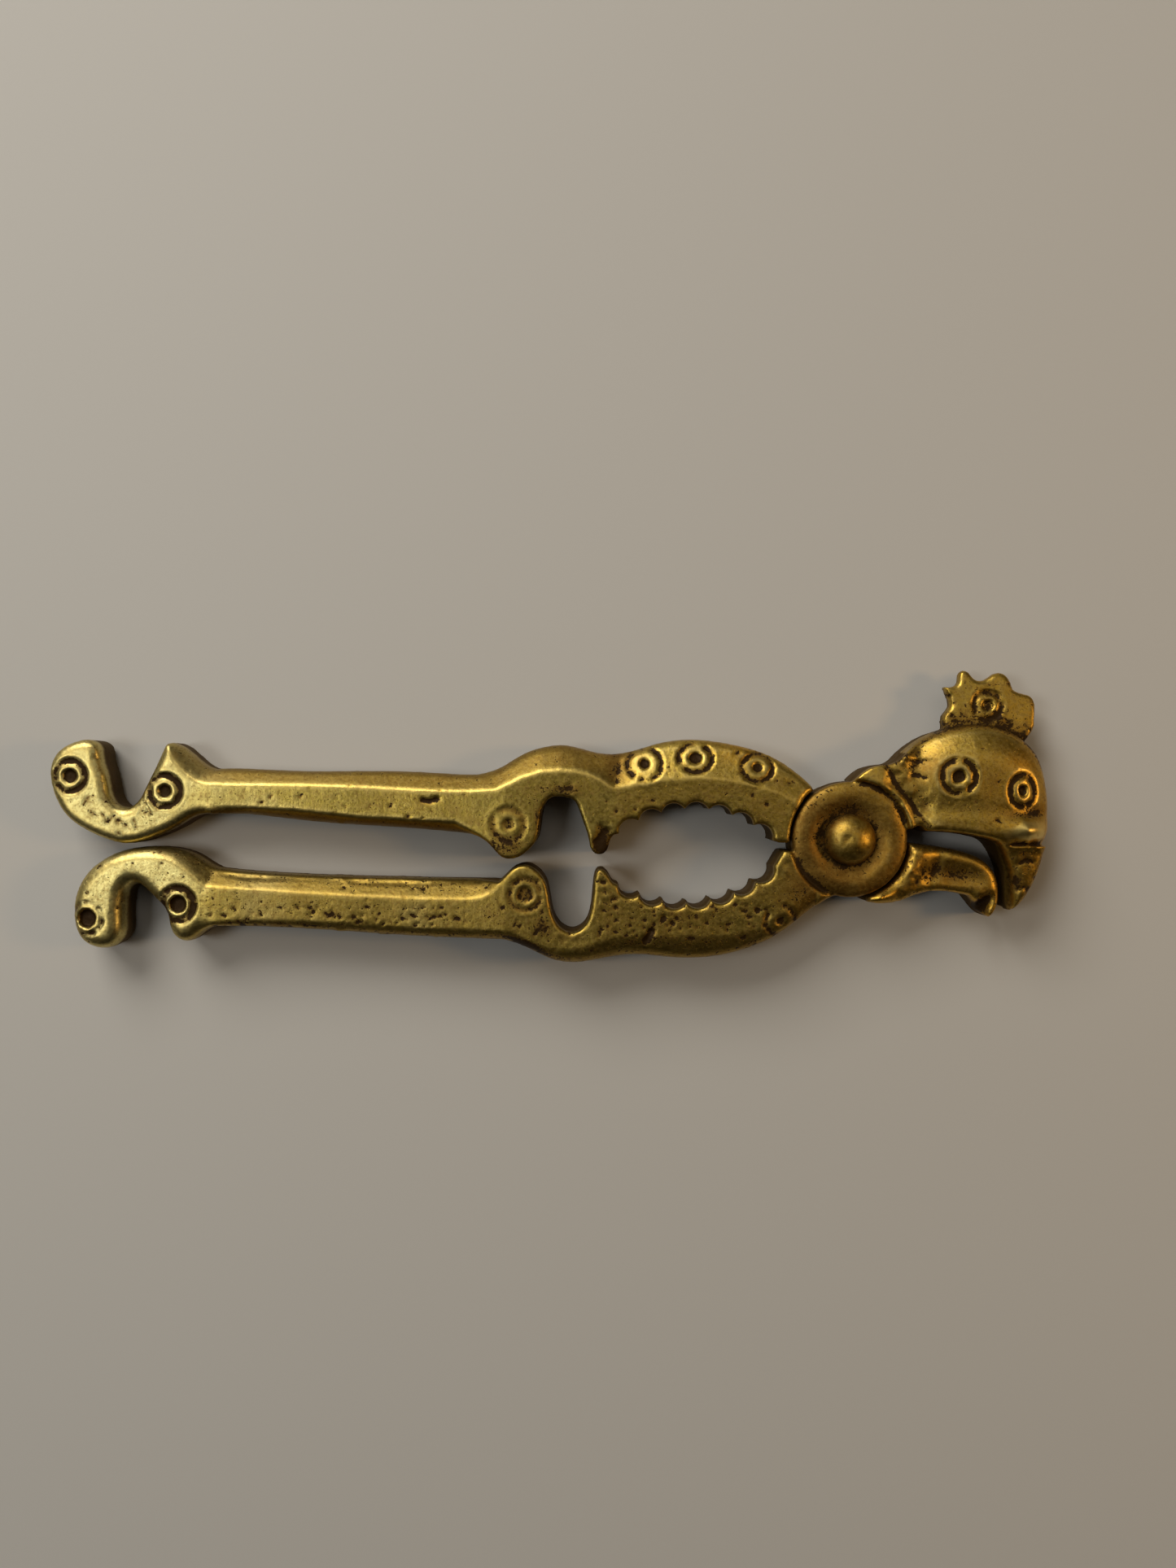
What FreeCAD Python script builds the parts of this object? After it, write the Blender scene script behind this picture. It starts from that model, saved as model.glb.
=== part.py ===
import FreeCAD, Part
import math
import os

import Sketcher
from FreeCAD import Vector

# Bird-head nutcracker in cast brass: two levers crossed at a riveted lap joint.
#
# It lies on its flat back. Z is up, X runs from the handles' tails to the bird's head, and Y runs from
# the lower jaw to the crest. The origin is where the rivet's axis meets the back. The head lever carries
# the handle at -Y, the lower jaw, the upper half of the lap and the bird's head. The beak lever carries
# the handle at +Y, the upper jaw, the lower half of the lap and the bird's lower beak. Squeezing the
# handles closes the jaws and the beak.

SIZES = {
    # name: (millimetres, what it is)
    "jaw_top": (9.6, "top of the jaws and of the hub"),
    "head_top": (11.0, "top of the bird's head"),
    "handle_top": (8.6, "top of the handles"),
    "handle_back": (0.6, "underside of the handles"),
    "tail_top": (8.2, "top of the tail hooks"),
    "tail_back": (0.8, "underside of the tail hooks"),
    "beak_top": (8.2, "top of the lower beak"),
    "head_hub_radius": (9.4, "upper lap disc, on the head lever"),
    "beak_hub_radius": (9.2, "lower lap disc, on the beak lever"),
    "shoulder_gap": (0.4, "from a lap disc to the other lever's shoulder"),
    "lap_height": (4.8, "middle of the gap between the laps"),
    "lap_gap": (0.1, "gap between the laps"),
    "rivet_radius": (3.0, "rivet's shank"),
    "running_gap": (0.06, "from the rivet to the beak lever"),
    "dish_radius": (6.4, "dish round the rivet's dome"),
    "dish_depth": (0.9, "depth of the dish"),
    "dome_radius": (4.3, "rivet's domed head"),
    "dome_height": (3.1, "height of the dome above the dish"),
    "foot_radius": (4.3, "rivet's peened foot, flush with the back"),
    "foot_depth": (1.3, "depth of the foot's cone"),
    "crest_base": (3.2, "underside of the crest"),
    "crest_thick": (3.0, "thickness of the crest"),
    "jaw_bevel_wide": (2.6, "width of the bevel on the jaws' outer edges"),
    "jaw_bevel_drop": (1.7, "drop of the bevel on the jaws' outer edges"),
    "back_bevel": (0.5, "bevel on the jaws' back edges"),
    "mark_depth": (0.5, "depth of the ring-and-dot marks"),
    "through": (20.0, "height of the tools that cut right through"),
}

TOOTH_COUNT = 7  # scallops in each jaw
TOOTH_DEPTH = 1.2  # from the tips of the teeth to the bottoms of the scallops

OUTER_SLOPE = 0.55  # drop of a handle's outer bevel for each millimetre of its width
OUTER_WIDEST = 3.2  # the width past which the outer bevel drops no further
INNER_SLOPE = 0.8  # drop of a handle's inner bevel for each millimetre of its width
BACK_CORNER = 0.6  # bevel on a handle's back corners

doc = FreeCAD.newDocument("nutcracker")


def make_sheet():
    sheet = doc.addObject("Spreadsheet::Sheet", "sizes")
    for row, (name, (value, words)) in enumerate(SIZES.items(), start=1):
        sheet.set(f"A{row}", words)
        sheet.set(f"B{row}", str(value))
        sheet.setAlias(f"B{row}", name)
    doc.recompute()


def size(name):
    return SIZES[name][0]


def bind(thing, field, expression):
    """Ties a property to the spreadsheet: <name> in the expression stands for that cell."""
    thing.setExpression(field, expression.replace("<", "sizes.").replace(">", ""))


def checked(feature):
    doc.recompute()
    bad = "Invalid" in feature.State or "Error" in feature.State
    if bad or feature.Shape.isNull() or not feature.Shape.isValid():
        raise RuntimeError(f"{feature.Name} failed: {feature.State}")
    return feature


def make_body(name):
    body = doc.addObject("PartDesign::Body", name)
    body.Label = name
    return body


def make_sketch(body, name, offset=None, plane="XY_Plane"):
    """A sketch on one of the body's own origin planes, moved off it by a bound or a plain offset."""
    sketch = body.newObject("Sketcher::SketchObject", name)
    support = [item for item in body.Origin.OriginFeatures if item.Role == plane][0]
    sketch.AttachmentSupport = [(support, "")]
    sketch.MapMode = "FlatFace"
    if isinstance(offset, str):
        bind(sketch, "AttachmentOffset.Base.z", offset)
    elif offset is not None:
        sketch.AttachmentOffset.Base = Vector(0, 0, offset)
    return sketch


def at(spot):
    return Vector(spot[0], spot[1], 0)


def smooth(*spots):
    """A curve that runs smoothly through the spots."""
    curve = Part.BSplineCurve()
    curve.interpolate([at(spot) for spot in spots])
    return curve


def straight(*spots):
    return [Part.LineSegment(at(a), at(b)) for a, b in zip(spots, spots[1:])]


def circle(radius, centre=(0, 0)):
    return Part.Circle(at(centre), Vector(0, 0, 1), radius)


def scallops(jaw):
    """A row of arcs, bulging away from the cavity, whose ends are the tips of a jaw's teeth.

    A jaw's tips lie on a circle: its centre, its radius, which side of the centre the jaw is on, and the
    angles of the first and last tips from the jaw's middle, positive towards the hub.
    """
    (x, y), radius, side, first, last = jaw

    def spot(angle, out=0.0):
        turn = math.radians(angle)
        return (x + (radius + out) * math.sin(turn), y + side * (radius + out) * math.cos(turn))

    step = (last - first) / TOOTH_COUNT
    arcs = []
    for tooth in range(TOOTH_COUNT):
        start = first + tooth * step
        # The tips stay sharp, and each scallop's bottom lies TOOTH_DEPTH further from the cavity.
        bottom = spot(start + step / 2, TOOTH_DEPTH)
        arcs.append(Part.Arc(at(spot(start)), at(bottom), at(spot(start + step))))
    return arcs, spot(first), spot(last)


def pad(body, name, base, height, outline):
    """Adds an outline to a body, from one bound height up by another. Returns the pad."""
    sketch = make_sketch(body, name + "_sketch", base)
    sketch.addGeometry(outline)
    sketch.Visibility = False
    feature = body.newObject("PartDesign::Pad", name)
    feature.Profile = sketch
    bind(feature, "Length", height)
    return checked(feature)


def edges_at(feature, height, keep):
    """Names of a feature's edges that lie level at a height and whose middle the keep function accepts."""
    names = []
    for number, edge in enumerate(feature.Shape.Edges, start=1):
        box = edge.BoundBox
        middle = edge.valueAt((edge.FirstParameter + edge.LastParameter) / 2)
        if abs(box.ZMin - height) < 0.01 and abs(box.ZMax - height) < 0.01 and keep(middle):
            names.append(f"Edge{number}")
    if not names:
        raise RuntimeError(f"{feature.Name} has no such edge at {height}")
    return names


def bevel(body, feature, name, names, wide, drop=None):
    """A chamfer along named edges. With a drop, it is wider across the top than it is deep."""
    cut = body.newObject("PartDesign::Chamfer", name)
    cut.Base = (feature, names)
    bind(cut, "Size", wide)
    if drop:
        cut.ChamferType = "Two distances"
        bind(cut, "Size2", drop)
    return checked(cut)


def handle(name, stations):
    """A handle lofted through cross-sections: a flat back, upright sides and two bevels beside a flat top.

    Each station is (x, outer side, ridge, inner ridge, inner side, rise): the four places are along Y, and
    the rise is how far the flat top stands above the handle's own top.
    """
    body = make_body(name)
    sketches = []
    for number, (x, side_a, ridge_a, ridge_b, side_b, rise) in enumerate(stations):
        sketch = make_sketch(body, f"{name}_section{number}", float(x), "YZ_Plane")
        back = size("handle_back")
        top = size("handle_top") + rise
        drop = OUTER_SLOPE * min(abs(side_a - ridge_a), OUTER_WIDEST)
        fall = INNER_SLOPE * abs(side_b - ridge_b)
        corner = math.copysign(BACK_CORNER, ridge_a - side_a)
        corners = [
            (ridge_a, top),
            (ridge_b, top),
            (side_b, top - fall),
            (side_b, back + BACK_CORNER),
            (side_b - corner, back),
            (side_a + corner, back),
            (side_a, back + BACK_CORNER),
            (side_a, top - drop),
            (ridge_a, top),
        ]
        sketch.addGeometry(straight(*corners))
        sketch.Visibility = False
        for line in range(8):
            sketch.addConstraint(Sketcher.Constraint("Coincident", line, 2, (line + 1) % 8, 1))
        for line, height, expression in ((0, top, f"<handle_top> + {rise}"), (4, back, "<handle_back>")):
            sketch.addConstraint(Sketcher.Constraint("Horizontal", line))
            place = sketch.addConstraint(Sketcher.Constraint("DistanceY", -1, 1, line, 1, height))
            bind(sketch, f"Constraints[{place}]", expression)
        sketches.append(sketch)
    loft = body.newObject("PartDesign::AdditiveLoft", name + "_loft")
    loft.Profile = sketches[0]
    loft.Sections = sketches[1:]
    checked(loft)
    return body


def disc(name, radius, height, base="0"):
    """A round solid about the rivet's axis."""
    feature = doc.addObject("Part::Cylinder", name)
    bind(feature, "Radius", radius)
    bind(feature, "Height", height)
    bind(feature, "Placement.Base.z", base)
    return checked(feature)


def fuse(name, *things):
    feature = doc.addObject("Part::MultiFuse", name)
    feature.Shapes = things
    feature.Label = name
    return checked(feature)


def cut(name, base, *tools):
    """Takes the tools out of the base, and makes sure that every one of them removes something."""
    for tool in tools:
        if base.Shape.common(tool.Shape).Volume < 0.001:
            raise RuntimeError(f"{tool.Name} cuts nothing from {base.Name}")
    tool = tools[0] if len(tools) == 1 else fuse(name + "_tools", *tools)
    feature = doc.addObject("Part::Cut", name)
    feature.Base = base
    feature.Tool = tool
    feature.Label = name
    return checked(feature)


def marks(name, top, *spots):
    """Punched marks, each a dot inside a ring: (x, y, dot radius, ring's inner and outer radius)."""
    body = make_body(name)
    sketch = make_sketch(body, name + "_sketch", f"{top} - <mark_depth>")
    for x, y, dot, inner, outer in spots:
        for radius in (dot, inner, outer):
            sketch.addGeometry(circle(radius, (x, y)))
    sketch.Visibility = False
    feature = body.newObject("PartDesign::Pad", name + "_pad")
    feature.Profile = sketch
    bind(feature, "Length", "<through>")
    checked(feature)
    return body


make_sheet()

# ---- head lever: lower jaw, upper half of the lap, bird's head and crest

LOWER_TEETH, lower_far, lower_near = scallops(((-27.0, 11.4), 21.5, -1, -29.8, 42.8))

lower_jaw = make_body("lower_jaw")
jaw_back = smooth(
    (-60.0, -16.1), (-57.0, -16.35), (-54.0, -17.1), (-51.3, -18.3), (-48.0, -19.8), (-45.0, -20.2),
    (-41.0, -19.7), (-37.0, -19.0), (-33.0, -18.95), (-28.0, -19.45), (-22.0, -19.2), (-16.5, -17.85),
    (-11.0, -15.2), (-6.8, -11.9), (-3.4, -9.6), (-1.0, -8.6),
)
knee = smooth(
    lower_far, (-39.0, -6.3), (-39.9, -5.0), (-40.8, -4.85), (-41.5, -6.3), (-41.75, -9.0), (-42.2, -12.0),
    (-43.4, -14.3), (-45.3, -15.1), (-47.2, -14.1), (-48.4, -11.9), (-48.9, -9.0), (-49.8, -6.2),
    (-51.1, -4.8), (-52.8, -4.1), (-54.4, -4.5), (-55.7, -5.6), (-57.0, -6.9), (-60.0, -7.0),
)
jaw_root = straight(lower_near, (-10.8, -1.8), (-6.0, -2.2), (-1.0, -8.6))
jaw = pad(
    lower_jaw, "lower_jaw_pad", "0", "<jaw_top>",
    LOWER_TEETH + [knee, jaw_back] + straight((-60.0, -7.0), (-60.0, -16.1)) + jaw_root,
)


def on_jaw_back(spot):
    return -56 < spot.x < -6 and spot.y < -15.5


jaw = bevel(
    lower_jaw, jaw, "lower_jaw_bevel", edges_at(jaw, size("jaw_top"), on_jaw_back),
    "<jaw_bevel_wide>", "<jaw_bevel_drop>",
)
jaw = bevel(lower_jaw, jaw, "lower_jaw_back_bevel", edges_at(jaw, 0.0, on_jaw_back), "<back_bevel>")

lower_handle = handle("lower_handle", (
    (-54.0, -16.5, -14.9, -9.9, -7.0, 0.9),
    (-60.0, -16.3, -14.7, -9.8, -6.75, 0.8),
    (-68.0, -16.0, -14.6, -9.8, -6.6, 0.2),
    (-78.0, -15.4, -14.1, -9.5, -6.4, 0.0),
    (-90.0, -14.6, -13.4, -8.85, -6.0, 0.0),
    (-104.0, -14.2, -13.1, -8.0, -4.9, -0.2),
))

lower_tail = make_body("lower_tail")
pad(lower_tail, "lower_tail_pad", "<tail_back>", "<tail_top> - <tail_back>", [
    smooth(
        (-99.0, -5.9), (-102.5, -5.4), (-104.9, -4.4), (-107.2, -2.9), (-110.0, -1.8), (-113.0, -1.4),
        (-116.0, -1.45), (-119.0, -2.0), (-122.0, -3.3), (-124.6, -5.4), (-126.2, -8.0), (-126.9, -11.0),
        (-126.7, -14.0), (-125.4, -16.6), (-123.0, -17.8), (-120.4, -17.4), (-118.95, -15.6),
        (-118.8, -12.5), (-118.6, -9.6), (-117.9, -7.7), (-116.6, -7.2), (-115.2, -8.0), (-113.6, -9.6),
        (-112.1, -11.2), (-111.3, -13.3), (-110.7, -15.3), (-109.8, -16.3), (-108.3, -16.7),
        (-107.0, -16.2), (-105.3, -14.9), (-103.0, -14.1), (-99.0, -13.9),
    ),
    *straight((-99.0, -13.9), (-99.0, -5.9)),
])

bird_head = make_body("bird_head")
pad(bird_head, "bird_head_pad", "0", "<head_top>", [
    *straight((9.4, 1.6), (11.2, 2.3), (12.3, 1.4)),
    smooth(
        (12.3, 1.4), (17.0, 1.15), (21.2, 0.4), (23.4, -0.4), (25.1, -2.6), (26.2, -5.4), (26.4, -8.0),
        (26.5, -10.0), (26.9, -11.7),
    ),
    smooth(
        (26.9, -11.7), (28.2, -10.6), (30.0, -7.9), (31.5, -3.65), (32.3, 0.6), (32.7, 5.0), (32.2, 9.5),
        (30.7, 13.9), (28.6, 16.2), (25.6, 17.9), (21.6, 18.7), (17.5, 18.3), (14.0, 17.3),
        (10.8, 15.5), (8.2, 13.1),
    ),
    smooth((8.2, 13.1), (6.2, 12.2), (3.9, 11.9), (1.9, 10.8), (0.5, 9.4)),
    *straight((0.5, 9.4), (1.0, 6.0), (7.0, 1.0), (9.4, 1.6)),
])
crest = make_body("crest")
pad(crest, "crest_pad", "<crest_base>", "<crest_thick>", [
    smooth((16.6, 16.0), (16.1, 18.4), (16.3, 20.5), (17.3, 21.9), (16.9, 23.8), (16.4, 25.2)),
    smooth((16.4, 25.2), (17.6, 25.1), (18.7, 25.7), (18.9, 26.8), (19.4, 27.8), (20.4, 27.7), (21.3, 26.6),
           (22.4, 26.1), (23.6, 26.5), (25.0, 27.4), (26.4, 27.3), (27.3, 26.2), (27.8, 24.6)),
    smooth((27.8, 24.6), (29.4, 24.0), (30.8, 23.4), (31.3, 22.1), (31.2, 20.4), (31.1, 18.8), (30.2, 17.1),
           (28.6, 14.6)),
    *straight((28.6, 14.6), (16.6, 16.0)),
])

upper_lap = disc("upper_lap", "<head_hub_radius>", "<jaw_top>")
head_lever_solid = fuse("head_lever_solid", lower_jaw, lower_handle, lower_tail, bird_head, crest, upper_lap)
head_lever = cut(
    "head_lever", head_lever_solid,
    disc(
        "room_for_lower_lap", "<beak_hub_radius> + <shoulder_gap>",
        "<through>", "<lap_height> + <lap_gap> / 2 - <through>",
    ),
    disc("rivet_hole", "<rivet_radius>", "<through>"),
    disc("dish", "<dish_radius>", "<through>", "<jaw_top> - <dish_depth>"),
    marks(
        "jaw_marks", "<jaw_top>",
        (-52.7, -8.9, 1.5, 2.1, 2.9), (-11.3, -12.4, 0.8, 1.9, 2.7),
    ),
    marks(
        "tail_marks", "<tail_top>",
        (-123.2, -12.6, 1.4, 2.1, 2.9), (-109.4, -10.6, 1.4, 2.1, 3.0),
    ),
    marks(
        "head_marks", "<head_top>",
        (17.15, 10.25, 1.1, 2.1, 3.1), (27.0, 8.2, 0.9, 2.1, 2.8),
    ),
    marks("crest_mark", "<crest_base> + <crest_thick>", (23.4, 21.95, 1.0, 1.8, 2.7)),
)

# ---- beak lever: upper jaw, lower half of the lap and lower beak

UPPER_TEETH, upper_far, upper_near = scallops(((-25.6, -14.55), 19.5, 1, -37.5, 42.0))

upper_jaw = make_body("upper_jaw")
jaw_back = smooth(
    (-62.0, 10.5), (-59.0, 11.0), (-56.5, 12.0), (-53.4, 13.9), (-50.0, 15.1), (-47.0, 15.5), (-43.3, 14.8),
    (-39.5, 14.0), (-36.0, 14.3), (-31.5, 15.6), (-27.0, 16.35), (-22.7, 16.2), (-17.6, 15.3),
    (-12.5, 13.6), (-8.6, 11.1), (-6.0, 8.8),
)
knee = smooth(
    upper_far, (-38.7, 0.4), (-39.1, -0.8), (-39.8, -2.1), (-41.0, -2.4), (-42.0, -1.6), (-42.4, 0.0),
    (-42.9, 1.8), (-43.8, 4.4), (-44.8, 6.4), (-46.7, 7.0), (-48.6, 6.8), (-49.8, 5.3), (-50.3, 2.8),
    (-50.8, 0.2), (-52.3, -1.8), (-54.4, -3.0), (-56.4, -2.9), (-58.2, -1.1), (-60.0, 0.3), (-62.0, 0.9),
)
jaw_root = straight(upper_near, (-11.6, -0.5), (-5.0, -0.5), (-4.0, 4.0), (-6.0, 8.8))
jaw = pad(
    upper_jaw, "upper_jaw_pad", "0", "<jaw_top>",
    UPPER_TEETH + [knee, jaw_back] + straight((-62.0, 0.9), (-62.0, 10.5)) + jaw_root,
)


def on_upper_jaw_back(spot):
    return -56 < spot.x < -6 and spot.y > 12


jaw = bevel(
    upper_jaw, jaw, "upper_jaw_bevel", edges_at(jaw, size("jaw_top"), on_upper_jaw_back),
    "<jaw_bevel_wide>", "<jaw_bevel_drop>",
)
jaw = bevel(upper_jaw, jaw, "upper_jaw_back_bevel", edges_at(jaw, 0.0, on_upper_jaw_back), "<back_bevel>")

upper_handle = handle("upper_handle", (
    (-56.0, 11.2, 8.0, 3.0, 1.1, 0.9),
    (-62.0, 10.6, 7.7, 3.0, 0.95, 0.8),
    (-70.0, 11.0, 7.9, 3.2, 1.65, 0.2),
    (-80.0, 11.2, 8.4, 3.9, 2.3, 0.0),
    (-90.0, 11.2, 8.7, 4.9, 3.1, 0.0),
    (-104.0, 11.5, 8.9, 5.7, 4.1, -0.2),
))

upper_tail = make_body("upper_tail")
pad(upper_tail, "upper_tail_pad", "<tail_back>", "<tail_top> - <tail_back>", [
    smooth(
        (-99.0, 4.2), (-103.0, 4.2), (-106.6, 3.9), (-110.0, 2.0), (-113.0, 0.6), (-115.6, -0.3),
        (-118.2, -0.7), (-121.2, -0.1), (-124.6, 1.4), (-127.4, 3.3), (-129.4, 6.0), (-130.5, 9.3),
        (-130.5, 12.2), (-129.0, 14.7), (-126.6, 16.0), (-124.2, 16.3), (-122.7, 15.5), (-122.2, 13.2),
        (-121.4, 10.6), (-120.9, 7.8), (-119.6, 5.6), (-117.6, 5.3), (-116.3, 6.2), (-114.9, 8.7),
        (-113.3, 11.9), (-112.2, 14.4), (-111.2, 15.8), (-109.4, 15.3), (-107.0, 13.2), (-104.8, 11.75),
        (-102.0, 11.3), (-99.0, 11.2),
    ),
    *straight((-99.0, 11.2), (-99.0, 4.2)),
])

lower_beak = make_body("lower_beak")
pad(lower_beak, "lower_beak_pad", "0", "<beak_top>", [
    *straight((3.0, -2.0), (9.5, -0.4)),
    smooth(
        (9.5, -0.4), (12.0, -0.9), (15.5, -1.35), (19.2, -2.1), (22.4, -3.5), (24.3, -5.6), (25.0, -8.3),
        (24.7, -11.0), (23.5, -12.9),
    ),
    smooth((23.5, -12.9), (22.4, -12.2), (21.2, -10.8), (20.0, -9.3)),
    smooth((20.0, -9.3), (17.5, -8.8), (14.0, -8.6), (11.0, -9.3), (8.6, -10.2), (5.9, -10.5), (3.0, -10.2)),
    *straight((3.0, -10.2), (3.0, -2.0)),
])

lower_lap = disc("lower_lap", "<beak_hub_radius>", "<lap_height> - <lap_gap> / 2")
beak_lever_solid = fuse("beak_lever_solid", upper_jaw, upper_handle, upper_tail, lower_beak, lower_lap)

foot_room = doc.addObject("Part::Cone", "room_for_rivet_foot")
bind(foot_room, "Radius1", "<foot_radius> + 2 * <running_gap>")
bind(foot_room, "Radius2", "<rivet_radius> + <running_gap>")
bind(foot_room, "Height", "<foot_depth>")
checked(foot_room)

beak_lever = cut(
    "beak_lever", beak_lever_solid,
    disc(
        "room_for_upper_lap", "<head_hub_radius> + <shoulder_gap>",
        "<through>", "<lap_height> - <lap_gap> / 2",
    ),
    disc("pivot_hole", "<rivet_radius> + <running_gap>", "<through>"),
    foot_room,
    marks("knee_mark", "<jaw_top>", (-55.2, 2.45, 1.2, 2.1, 3.0)),
    marks("hook_marks", "<tail_top>", (-126.6, 10.2, 1.2, 2.0, 2.9), (-111.5, 7.9, 1.2, 2.0, 3.0)),
)

# ---- rivet, turned about Z

pivot_rivet = make_body("pivot_rivet")
profile = make_sketch(pivot_rivet, "rivet_profile", plane="XZ_Plane")
seat = size("jaw_top") - size("dish_depth")
crown = seat + size("dome_height")
dome = size("dome_radius")
foot = size("foot_radius")
shank = size("rivet_radius")
cap = (dome ** 2 + size("dome_height") ** 2) / (2 * size("dome_height"))
lean = math.asin(dome / cap) / 2
halfway = (cap * math.sin(lean), crown - cap + cap * math.cos(lean))
profile.addGeometry([
    *straight((0, crown), (0, 0), (foot, 0), (shank, size("foot_depth")), (shank, seat), (dome, seat)),
    Part.Arc(at((dome, seat)), at(halfway), at((0, crown))),
])
profile.Visibility = False
for edge in range(6):
    profile.addConstraint(Sketcher.Constraint("Coincident", edge, 2, (edge + 1) % 6, 1))
profile.addConstraint(Sketcher.Constraint("Coincident", 1, 1, -1, 1))
profile.addConstraint(Sketcher.Constraint("PointOnObject", 5, 3, -2))
for edge in (0, 3):
    profile.addConstraint(Sketcher.Constraint("Vertical", edge))
for edge in (1, 4):
    profile.addConstraint(Sketcher.Constraint("Horizontal", edge))
for kind, edge, end, value, expression in (
    ("DistanceX", 1, 2, foot, "<foot_radius>"),
    ("DistanceX", 2, 2, shank, "<rivet_radius>"),
    ("DistanceY", 2, 2, size("foot_depth"), "<foot_depth>"),
    ("DistanceX", 4, 2, dome, "<dome_radius>"),
    ("DistanceY", 4, 2, seat, "<jaw_top> - <dish_depth>"),
    ("DistanceY", 0, 1, crown, "<jaw_top> - <dish_depth> + <dome_height>"),
):
    place = profile.addConstraint(Sketcher.Constraint(kind, -1, 1, edge, end, value))
    bind(profile, f"Constraints[{place}]", expression)
turned = pivot_rivet.newObject("PartDesign::Revolution", "rivet_turned")
turned.Profile = profile
turned.ReferenceAxis = (profile, ["V_Axis"])
turned.Angle = 360
checked(turned)

# ---- write the parts

NODES = (head_lever, beak_lever, pivot_rivet)

doc.recompute()
for item in doc.Objects:
    if "Invalid" in item.State or "Error" in item.State:
        raise RuntimeError(f"{item.Name} is {item.State}")

os.makedirs("parts", exist_ok=True)
for node in NODES:
    shape = node.Shape
    if shape.isNull() or not shape.isValid() or len(shape.Solids) != 1:
        raise RuntimeError(f"{node.Label} is not one valid solid")
    shape.exportStep(f"parts/{node.Label}.step")
    box = shape.optimalBoundingBox(False, False)
    lengths = f"{box.XLength:.1f} x {box.YLength:.1f} x {box.ZLength:.1f} mm"
    print(f"{node.Label}: {shape.Volume:.0f} mm3, {lengths}")
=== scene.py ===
import copy
import math

import bpy
import numpy as np
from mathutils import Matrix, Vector, kdtree


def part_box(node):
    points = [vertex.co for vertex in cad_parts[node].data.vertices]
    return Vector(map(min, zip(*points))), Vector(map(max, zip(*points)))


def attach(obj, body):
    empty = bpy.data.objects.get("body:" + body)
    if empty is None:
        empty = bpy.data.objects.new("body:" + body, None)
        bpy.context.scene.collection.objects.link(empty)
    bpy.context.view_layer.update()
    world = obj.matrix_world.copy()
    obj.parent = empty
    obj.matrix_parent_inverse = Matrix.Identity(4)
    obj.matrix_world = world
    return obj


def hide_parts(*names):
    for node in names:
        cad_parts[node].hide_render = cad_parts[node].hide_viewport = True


# Bird-head nutcracker in old cast brass. Each lever is sculpted as a solid in numpy: its outlines are
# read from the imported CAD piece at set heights, its top is a height map, and the two are meshed
# together. All sculpting is in millimetres in the frame, and the meshes are stored in metres.

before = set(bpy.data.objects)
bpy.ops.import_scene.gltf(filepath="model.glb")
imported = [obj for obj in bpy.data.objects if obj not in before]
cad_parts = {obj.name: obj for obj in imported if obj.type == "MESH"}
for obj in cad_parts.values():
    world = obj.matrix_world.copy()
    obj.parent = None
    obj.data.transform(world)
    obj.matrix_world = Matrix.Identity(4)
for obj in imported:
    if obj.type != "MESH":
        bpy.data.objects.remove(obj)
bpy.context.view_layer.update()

STEP = 0.27  # sculpting grid along X and Y
RISE = 0.46  # sculpting grid along Z
MM = 0.001
FAR = 50.0  # stands for any distance that doesn't matter
SKIRT = 1.5  # how far outside the outline the height map is still shaped
MARGIN = 1.2  # how far the height map runs past the piece's box

LAP_TOP = 4.75  # top of the beak lever's half of the lap
LAP_BASE = 4.85  # underside of the head lever's half
BODY_CUT = 6.5  # height at which a lever's own outline is read
LOW_CUT = 2.5  # height in the lower half of the lap, at which its outline is read again
CREST_CUT = 5.6  # height inside the crest's plate
CREST_BASE = 3.2  # underside of the crest's plate
SHANK = 3.0  # radius of the rivet's shank, and of the head lever's hole
RUNNING = 3.06  # radius of the beak lever's hole
NEAR_PIVOT = 5.0  # radius that holds both holes and nothing else
HUB_EDGE = 9.7  # radius of the hub
HOOK_ENDS = (-103.0, -107.0)  # X over which a handle turns into its tail hook
JAW_ENDS = (-62, -58)  # X over which a handle turns into its jaw
BEAK_START = 2  # X from which the beak lever is the lower beak
TABLE = 128  # cells along each side of the noise table, which repeats
MOST_SPOTS = 40  # most spots along one cut line, so the rest of a line over 4 mm has only its end

# ---- helpers on arrays


def step01(low, high, value):
    """Smooth step from 0 at low to 1 at high; the limits may be given either way round."""
    t = np.clip((value - low) / (high - low), 0.0, 1.0)
    return t * t * (3.0 - 2.0 * t)


def soft_max(a, b, k):
    """The larger of two fields, with the edge between them rounded over k."""
    h = np.clip(k - np.abs(a - b), 0.0, None) / k
    return np.maximum(a, b) + h * h * k * 0.25


def soft_min(a, b, k):
    """The smaller of two fields, with the edge between them rounded over k."""
    return -soft_max(-a, -b, k)


def quarter_round(d, radius, drop):
    """How far a rounded edge falls below the face, at a distance d in from the edge."""
    t = 1.0 - np.clip(d / radius, 0.0, 1.0)
    return drop * (1.0 - np.sqrt(np.clip(1.0 - t * t, 0.0, 1.0)))


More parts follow.
